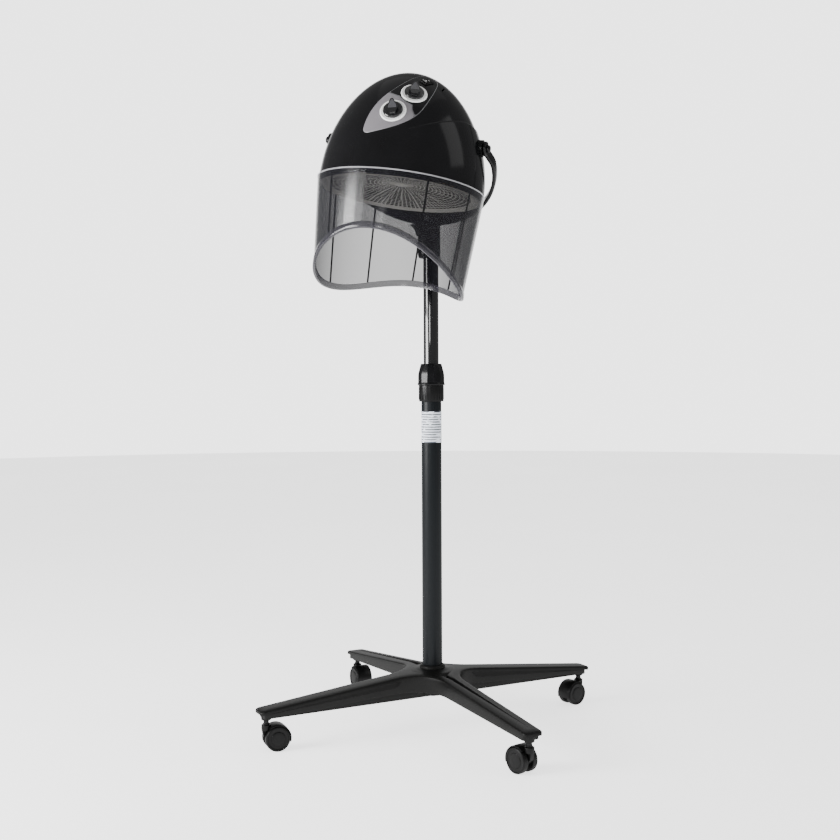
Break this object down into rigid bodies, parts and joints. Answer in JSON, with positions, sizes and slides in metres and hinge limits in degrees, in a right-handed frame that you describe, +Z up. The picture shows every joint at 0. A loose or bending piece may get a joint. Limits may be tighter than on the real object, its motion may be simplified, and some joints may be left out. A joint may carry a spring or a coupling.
{
  "type": "hood hair dryer",
  "caption": "Salon hooded dryer: glossy dome with control panel, smoked visor and air grille, tilting in a yoke on a telescopic column over a four-legged castor base.",
  "frame": {"origin": "middle of the bounding box's floor face, under the stand", "axes": "+Z up along the column, -Y towards the visor's high front opening, where the client's face is"},
  "size_m": [0.5766, 0.6748, 1.3166],
  "materials": {
    "matt_black": "matt",
    "gloss_black": "gloss",
    "satin_black": "satin",
    "painted_tube": "satin",
    "gloss_tube": "gloss",
    "silver_grey": "satin",
    "white_plastic": "satin",
    "label": "satin",
    "grille_grey": "matt",
    "steel": "satin",
    "mica": "matt",
    "smoke": "gloss",
    "wheel_black": "satin"
  },
  "bodies": {
    "base": {"base_frame": "matt_black", "lower_column": "painted_tube", "column_foot_ring": "matt_black", "foot_bolt": "steel", "foot_washer": "steel", "rating_label": "label", "collar_sleeve": "satin_black", "collet_bush": "white_plastic", "caster_1_stem": "steel", "caster_2_stem": "steel", "caster_3_stem": "steel", "caster_4_stem": "steel"},
    "caster_1_fork": {"caster_1_housing": "matt_black", "caster_1_axle": "steel"},
    "caster_1_left": {"caster_1_wheel_left": "wheel_black"},
    "caster_1_right": {"caster_1_wheel_right": "wheel_black"},
    "caster_2_fork": {"caster_2_housing": "matt_black", "caster_2_axle": "steel"},
    "caster_2_left": {"caster_2_wheel_left": "wheel_black"},
    "caster_2_right": {"caster_2_wheel_right": "wheel_black"},
    "caster_3_fork": {"caster_3_housing": "matt_black", "caster_3_axle": "steel"},
    "caster_3_left": {"caster_3_wheel_left": "wheel_black"},
    "caster_3_right": {"caster_3_wheel_right": "wheel_black"},
    "caster_4_fork": {"caster_4_housing": "matt_black", "caster_4_axle": "steel"},
    "caster_4_left": {"caster_4_wheel_left": "wheel_black"},
    "caster_4_right": {"caster_4_wheel_right": "wheel_black"},
    "nut": {"collet_nut": "satin_black"},
    "mast": {"upper_tube": "gloss_tube", "guide_bush": "white_plastic"},
    "yoke": {"yoke_neck": "satin_black", "yoke_band": "satin_black", "neck_screw": "steel", "pivot_bolt_left": "steel", "pivot_bolt_right": "steel", "pivot_cap_left": "satin_black", "pivot_cap_right": "satin_black"},
    "hood": {"hood_shell": "gloss_black", "panel_grey": "silver_grey", "panel_black": "gloss_black", "pivot_disc_left": "satin_black", "pivot_disc_right": "satin_black", "timer_dial_plate": "white_plastic", "heat_dial_plate": "white_plastic", "timer_body": "steel", "thermostat_body": "steel", "switch_bezel": "satin_black", "fan_deck": "steel", "motor": "steel", "heater_frame": "mica", "heater_coil": "steel", "thermal_cutout": "white_plastic", "cable_gland": "satin_black", "grille": "grille_grey", "visor": "smoke"},
    "timer_dial": {"timer_knob": "gloss_black"},
    "heat_dial": {"heat_knob": "gloss_black"},
    "switch": {"rocker_switch": "gloss_black"},
    "fan": {"impeller": "satin_black"}
  },
  "joints": [
    {"name": "caster_1_swivel", "type": "hinge", "parent": "base", "child": "caster_1_fork", "pos_m": [0.26517, 0.31425, 0.048], "axis": [0, 0, 1], "continuous": true},
    {"name": "caster_1_left_spin", "type": "hinge", "parent": "caster_1_fork", "child": "caster_1_left", "pos_m": [0.25369, 0.29786, 0.025], "axis": [0.8192, -0.5736, 0], "continuous": true},
    {"name": "caster_1_right_spin", "type": "hinge", "parent": "caster_1_fork", "child": "caster_1_right", "pos_m": [0.25369, 0.29786, 0.025], "axis": [0.8192, -0.5736, 0], "continuous": true},
    {"name": "caster_2_swivel", "type": "hinge", "parent": "base", "child": "caster_2_fork", "pos_m": [-0.26517, 0.31425, 0.048], "axis": [0, 0, 1], "continuous": true},
    {"name": "caster_2_left_spin", "type": "hinge", "parent": "caster_2_fork", "child": "caster_2_left", "pos_m": [-0.25153, 0.29962, 0.025], "axis": [0.7314, 0.682, 0], "continuous": true},
    {"name": "caster_2_right_spin", "type": "hinge", "parent": "caster_2_fork", "child": "caster_2_right", "pos_m": [-0.25153, 0.29962, 0.025], "axis": [0.7314, 0.682, 0], "continuous": true},
    {"name": "caster_3_swivel", "type": "hinge", "parent": "base", "child": "caster_3_fork", "pos_m": [-0.26517, -0.21609, 0.048], "axis": [0, 0, 1], "continuous": true},
    {"name": "caster_3_left_spin", "type": "hinge", "parent": "caster_3_fork", "child": "caster_3_left", "pos_m": [-0.2494, -0.20377, 0.025], "axis": [-0.6157, 0.788, 0], "continuous": true},
    {"name": "caster_3_right_spin", "type": "hinge", "parent": "caster_3_fork", "child": "caster_3_right", "pos_m": [-0.2494, -0.20377, 0.025], "axis": [-0.6157, 0.788, 0], "continuous": true},
    {"name": "caster_4_swivel", "type": "hinge", "parent": "base", "child": "caster_4_fork", "pos_m": [0.26517, -0.21609, 0.048], "axis": [0, 0, 1], "continuous": true},
    {"name": "caster_4_left_spin", "type": "hinge", "parent": "caster_4_fork", "child": "caster_4_left", "pos_m": [0.24839, -0.20519, 0.025], "axis": [-0.5446, -0.8387, 0], "continuous": true},
    {"name": "caster_4_right_spin", "type": "hinge", "parent": "caster_4_fork", "child": "caster_4_right", "pos_m": [0.24839, -0.20519, 0.025], "axis": [-0.5446, -0.8387, 0], "continuous": true},
    {"name": "collet_turn", "type": "hinge", "parent": "base", "child": "nut", "pos_m": [0, 0.04908, 0.74], "axis": [0, 0, 1], "range_deg": [0, 90]},
    {"name": "height_slide", "type": "slide", "parent": "base", "child": "mast", "axis": [0, 0, 1], "range_m": [-0.18, 0.1]},
    {"name": "hood_swivel", "type": "hinge", "parent": "mast", "child": "yoke", "pos_m": [0, 0.04908, 1], "axis": [0, 0, 1], "continuous": true},
    {"name": "hood_tilt", "type": "hinge", "parent": "yoke", "child": "hood", "pos_m": [0.01675, -0.16592, 1.18359], "axis": [0.9941, 0, -0.1087], "range_deg": [-42, 9]},
    {"name": "timer_turn", "type": "hinge", "parent": "hood", "child": "timer_dial", "pos_m": [0.03283, -0.30072, 1.22382], "axis": [0.1295, -0.8685, 0.4784], "range_deg": [-270, 0]},
    {"name": "heat_turn", "type": "hinge", "parent": "hood", "child": "heat_dial", "pos_m": [0.06388, -0.26652, 1.26002], "axis": [0.3428, -0.7059, 0.6198], "range_deg": [-135, 135]},
    {"name": "rocker_tilt", "type": "hinge", "parent": "hood", "child": "switch", "pos_m": [0.07387, -0.22349, 1.28429], "axis": [-0.7816, 0.1977, 0.5916], "range_deg": [-16, 0]},
    {"name": "fan_spin", "type": "hinge", "parent": "hood", "child": "fan", "pos_m": [0.01459, -0.16793, 1.16381], "axis": [0.1081, 0.1004, 0.9891], "continuous": true}
  ]
}
